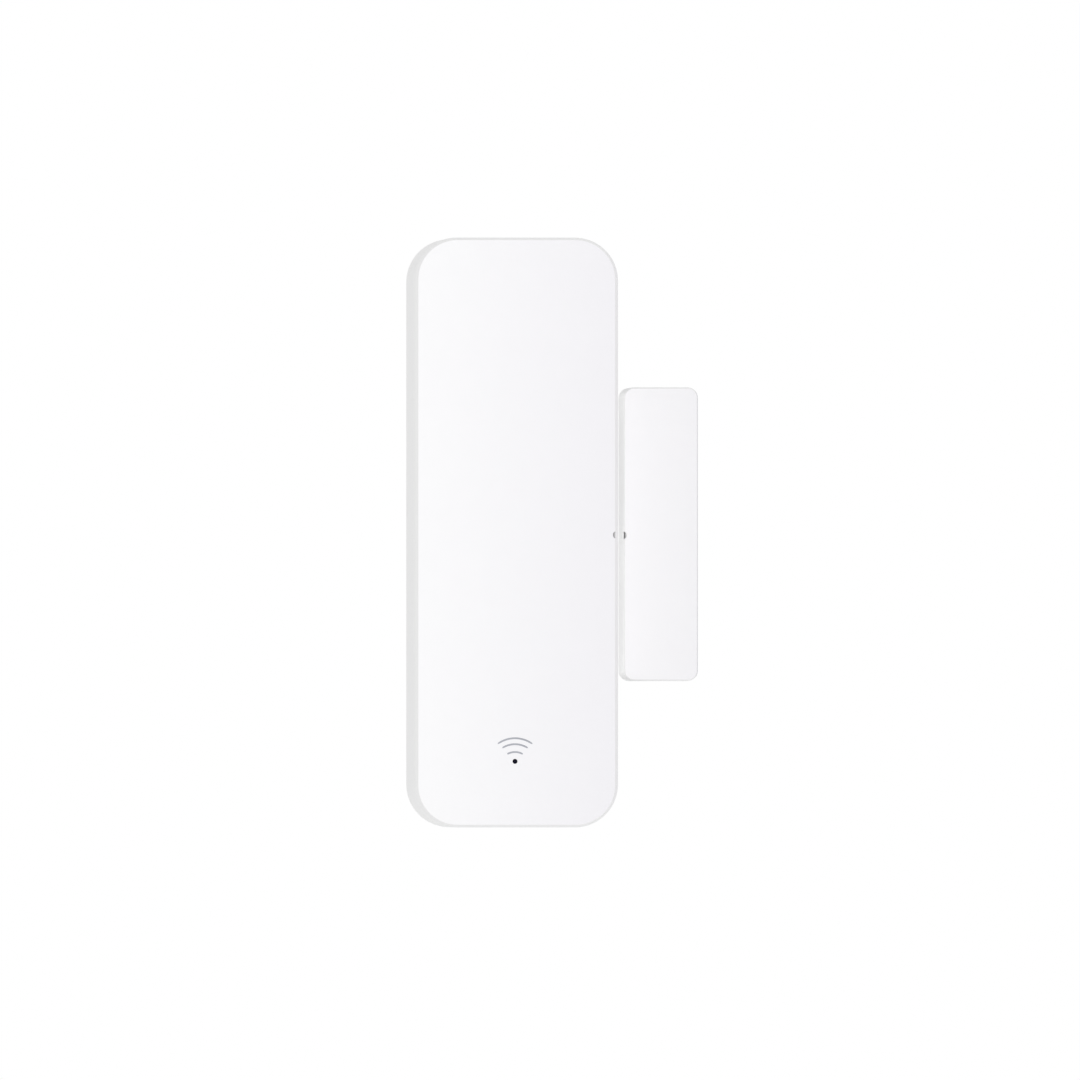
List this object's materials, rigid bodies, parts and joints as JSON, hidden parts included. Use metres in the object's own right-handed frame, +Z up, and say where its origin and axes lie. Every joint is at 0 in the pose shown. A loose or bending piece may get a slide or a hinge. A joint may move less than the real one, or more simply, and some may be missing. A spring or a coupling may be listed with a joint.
{
  "type": "door contact sensor",
  "caption": "Tall wireless sensor unit with a pull-off cover over cells and a reed switch, beside a small magnet unit; both stick on by flat adhesive pads.",
  "frame": {"origin": "middle of the sensor unit's adhesive face", "axes": "+X to the right towards the magnet unit, +Y into the wall the units stick to, +Z up along the sensor unit"},
  "size_m": [0.0347, 0.0198, 0.071],
  "materials": {
    "white_casing": "fine satin moulded",
    "grey_button": "satin",
    "black_moulding": "satin",
    "smoked_window": "polished dark resin",
    "foam_tape": "foam",
    "dark_foam": "open foam",
    "board_laminate": "solder mask",
    "radio_laminate": "solder mask",
    "nickel_plate": "bright nickel",
    "screw_steel": "zinc plated",
    "capacitor_can": "drawn",
    "cell_wrap": "printed film",
    "tantalum_resin": "moulded",
    "ferrite": "sintered",
    "chip_ceramic": "fired",
    "led_resin": "clear resin",
    "tube_glass": "fire polished"
  },
  "bodies": {
    "wall_base": {"back_plate": "white_casing", "base_tape": "foam_tape"},
    "sensor_housing": {"front_cover": "white_casing", "battery_holder": "black_moulding", "battery_left": "cell_wrap", "battery_right": "cell_wrap", "bridge_contact": "nickel_plate", "negative_contact": "nickel_plate", "positive_contact": "nickel_plate", "circuit_board": "board_laminate", "board_screw_left": "screw_steel", "board_screw_right": "screw_steel", "radio_board": "radio_laminate", "radio_shield": "nickel_plate", "reed_glass": "tube_glass", "reed_fixed_blade": "nickel_plate", "status_led": "led_resin", "light_pipe": "smoked_window", "voltage_regulator": "black_moulding", "power_inductor": "ferrite", "tantalum_capacitor": "tantalum_resin", "bulk_capacitor": "capacitor_can", "chip_resistor_1": "black_moulding", "chip_resistor_2": "black_moulding", "chip_resistor_3": "black_moulding", "chip_capacitor_1": "chip_ceramic", "chip_capacitor_2": "chip_ceramic", "chip_capacitor_3": "chip_ceramic", "switch_body": "black_moulding", "switch_dome": "screw_steel"},
    "pairing_button": {"switch_plunger": "grey_button"},
    "reed_blade": {"reed_moving_blade": "nickel_plate"},
    "magnet_mount": {"magnet_back_plate": "white_casing", "magnet_tape": "foam_tape"},
    "magnet_case": {"magnet_cover": "white_casing", "magnet_bar": "nickel_plate", "magnet_foam": "dark_foam"}
  },
  "joints": [
    {"name": "housing_pull_off", "type": "slide", "parent": "wall_base", "child": "sensor_housing", "axis": [0, -1, 0], "range_m": [0, 0.035]},
    {"name": "button_press", "type": "slide", "parent": "sensor_housing", "child": "pairing_button", "axis": [0, -1, 0], "range_m": [0, 0.00025], "stiffness_N_per_m": 600},
    {"name": "door_travel", "type": "slide", "parent": "wall_base", "child": "magnet_mount", "axis": [1, 0, 0], "range_m": [0, 0.04]},
    {"name": "magnet_cover_pull_off", "type": "slide", "parent": "magnet_mount", "child": "magnet_case", "axis": [0, -1, 0], "range_m": [0, 0.015]},
    {"name": "reed_flex", "type": "hinge", "parent": "sensor_housing", "child": "reed_blade", "pos_m": [0.0087, -0.01645, -0.0054], "axis": [-1, 0, 0], "range_deg": [0, 1.6]}
  ],
  "couplings": [
    {"joint": "reed_flex", "follows": "door_travel", "rad_per_m": 0.69}
  ]
}
